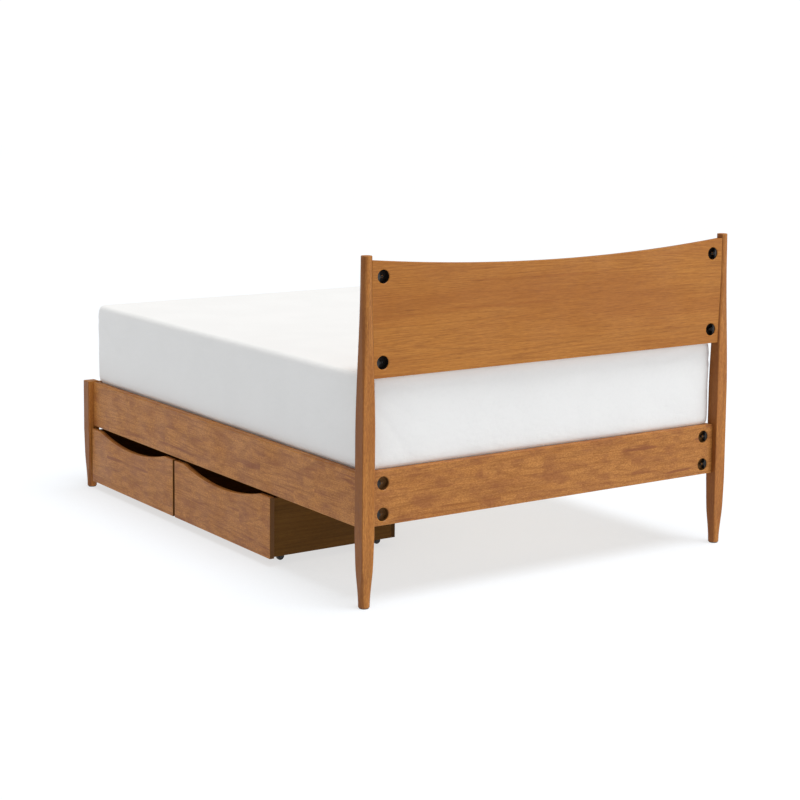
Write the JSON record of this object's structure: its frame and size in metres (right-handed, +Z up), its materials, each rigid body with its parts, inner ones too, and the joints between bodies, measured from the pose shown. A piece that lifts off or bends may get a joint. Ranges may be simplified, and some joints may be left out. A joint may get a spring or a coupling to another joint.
{
  "type": "platform bed with storage drawers",
  "caption": "Low wooden platform bed: tapered round-ended posts, concave headboard panel, slats, white mattress, and rolling storage drawers along one side.",
  "frame": {"origin": "on the floor, under the middle of the bed frame", "axes": "+Y towards the headboard, +X towards the side the drawers roll out of, +Z up"},
  "size_m": [1.65, 2.15, 1.183],
  "materials": {
    "stained_wood": "honey-brown stain under satin lacquer",
    "panel_veneer": "straight-grained veneer, honey-brown stain, satin lacquer",
    "drawer_wood": "stained wood, thin matt lacquer",
    "plain_pine": "planed, unfinished",
    "black_steel": "black oxide",
    "black_plastic": "moulded, slightly shiny",
    "dark_glide": "matt",
    "white_cotton": "plain woven cotton, washed and stretched smooth"
  },
  "bodies": {
    "root": {"beam_cradle_foot": "black_steel", "beam_cradle_head": "black_steel", "centre_beam": "plain_pine", "centre_leg": "plain_pine", "foot_bracket_left": "black_steel", "foot_bracket_right": "black_steel", "foot_glide_left": "dark_glide", "foot_glide_right": "dark_glide", "foot_post_left": "stained_wood", "foot_post_right": "stained_wood", "foot_rail": "stained_wood", "head_bracket_left": "black_steel", "head_bracket_right": "black_steel", "head_glide_left": "dark_glide", "head_glide_right": "dark_glide", "head_post_left": "stained_wood", "head_post_right": "stained_wood", "head_rail": "stained_wood", "headboard_panel": "panel_veneer", "panel_bolt_left_high": "black_steel", "panel_bolt_left_low": "black_steel", "panel_bolt_right_high": "black_steel", "panel_bolt_right_low": "black_steel", "rail_bolt_left_high": "black_steel", "rail_bolt_left_low": "black_steel", "rail_bolt_right_high": "black_steel", "rail_bolt_right_low": "black_steel", "side_rail_left": "stained_wood", "side_rail_right": "stained_wood", "slat_ledger_left": "plain_pine", "slat_ledger_right": "plain_pine", "slat_roll_foot": "plain_pine", "slat_roll_head": "plain_pine"},
    "mattress": {"mattress": "white_cotton"},
    "head_drawer": {"head_drawer_back": "drawer_wood", "head_drawer_floor": "drawer_wood", "head_drawer_fork_front_foot": "black_plastic", "head_drawer_fork_front_head": "black_plastic", "head_drawer_fork_rear_foot": "black_plastic", "head_drawer_fork_rear_head": "black_plastic", "head_drawer_front": "stained_wood", "head_drawer_side_foot": "drawer_wood", "head_drawer_side_head": "drawer_wood"},
    "head_drawer_wheel_front_head": {"head_drawer_wheel_front_head": "black_plastic"},
    "head_drawer_wheel_front_foot": {"head_drawer_wheel_front_foot": "black_plastic"},
    "head_drawer_wheel_rear_head": {"head_drawer_wheel_rear_head": "black_plastic"},
    "head_drawer_wheel_rear_foot": {"head_drawer_wheel_rear_foot": "black_plastic"},
    "foot_drawer": {"foot_drawer_back": "drawer_wood", "foot_drawer_floor": "drawer_wood", "foot_drawer_fork_front_foot": "black_plastic", "foot_drawer_fork_front_head": "black_plastic", "foot_drawer_fork_rear_foot": "black_plastic", "foot_drawer_fork_rear_head": "black_plastic", "foot_drawer_front": "stained_wood", "foot_drawer_side_foot": "drawer_wood", "foot_drawer_side_head": "drawer_wood"},
    "foot_drawer_wheel_front_head": {"foot_drawer_wheel_front_head": "black_plastic"},
    "foot_drawer_wheel_front_foot": {"foot_drawer_wheel_front_foot": "black_plastic"},
    "foot_drawer_wheel_rear_head": {"foot_drawer_wheel_rear_head": "black_plastic"},
    "foot_drawer_wheel_rear_foot": {"foot_drawer_wheel_rear_foot": "black_plastic"}
  },
  "joints": [
    {"name": "head_drawer_slide", "type": "slide", "parent": "root", "child": "head_drawer", "axis": [1, 0, 0], "range_m": [0, 0.55]},
    {"name": "head_drawer_wheel_front_head_roll", "type": "hinge", "parent": "head_drawer", "child": "head_drawer_wheel_front_head", "pos_m": [0.727, 0.385, 0.0153], "axis": [0, 1, 0], "continuous": true},
    {"name": "head_drawer_wheel_front_foot_roll", "type": "hinge", "parent": "head_drawer", "child": "head_drawer_wheel_front_foot", "pos_m": [0.727, -0.206, 0.0153], "axis": [0, 1, 0], "continuous": true},
    {"name": "head_drawer_wheel_rear_head_roll", "type": "hinge", "parent": "head_drawer", "child": "head_drawer_wheel_rear_head", "pos_m": [0.303, 0.385, 0.0153], "axis": [0, 1, 0], "continuous": true},
    {"name": "head_drawer_wheel_rear_foot_roll", "type": "hinge", "parent": "head_drawer", "child": "head_drawer_wheel_rear_foot", "pos_m": [0.303, -0.206, 0.0153], "axis": [0, 1, 0], "continuous": true},
    {"name": "foot_drawer_slide", "type": "slide", "parent": "root", "child": "foot_drawer", "axis": [1, 0, 0], "range_m": [0, 0.55]},
    {"name": "foot_drawer_wheel_front_head_roll", "type": "hinge", "parent": "foot_drawer", "child": "foot_drawer_wheel_front_head", "pos_m": [0.727, -0.36, 0.0153], "axis": [0, 1, 0], "continuous": true},
    {"name": "foot_drawer_wheel_front_foot_roll", "type": "hinge", "parent": "foot_drawer", "child": "foot_drawer_wheel_front_foot", "pos_m": [0.727, -0.951, 0.0153], "axis": [0, 1, 0], "continuous": true},
    {"name": "foot_drawer_wheel_rear_head_roll", "type": "hinge", "parent": "foot_drawer", "child": "foot_drawer_wheel_rear_head", "pos_m": [0.303, -0.36, 0.0153], "axis": [0, 1, 0], "continuous": true},
    {"name": "foot_drawer_wheel_rear_foot_roll", "type": "hinge", "parent": "foot_drawer", "child": "foot_drawer_wheel_rear_foot", "pos_m": [0.303, -0.951, 0.0153], "axis": [0, 1, 0], "continuous": true},
    {"name": "mattress_lift", "type": "slide", "parent": "root", "child": "mattress", "axis": [0, 0, 1], "range_m": [0, 0.25]}
  ],
  "couplings": [
    {"joint": "head_drawer_wheel_front_head_roll", "follows": "head_drawer_slide", "rad_per_m": 66.667},
    {"joint": "head_drawer_wheel_front_foot_roll", "follows": "head_drawer_slide", "rad_per_m": 66.667},
    {"joint": "head_drawer_wheel_rear_head_roll", "follows": "head_drawer_slide", "rad_per_m": 66.667},
    {"joint": "head_drawer_wheel_rear_foot_roll", "follows": "head_drawer_slide", "rad_per_m": 66.667},
    {"joint": "foot_drawer_wheel_front_head_roll", "follows": "foot_drawer_slide", "rad_per_m": 66.667},
    {"joint": "foot_drawer_wheel_front_foot_roll", "follows": "foot_drawer_slide", "rad_per_m": 66.667},
    {"joint": "foot_drawer_wheel_rear_head_roll", "follows": "foot_drawer_slide", "rad_per_m": 66.667},
    {"joint": "foot_drawer_wheel_rear_foot_roll", "follows": "foot_drawer_slide", "rad_per_m": 66.667}
  ]
}
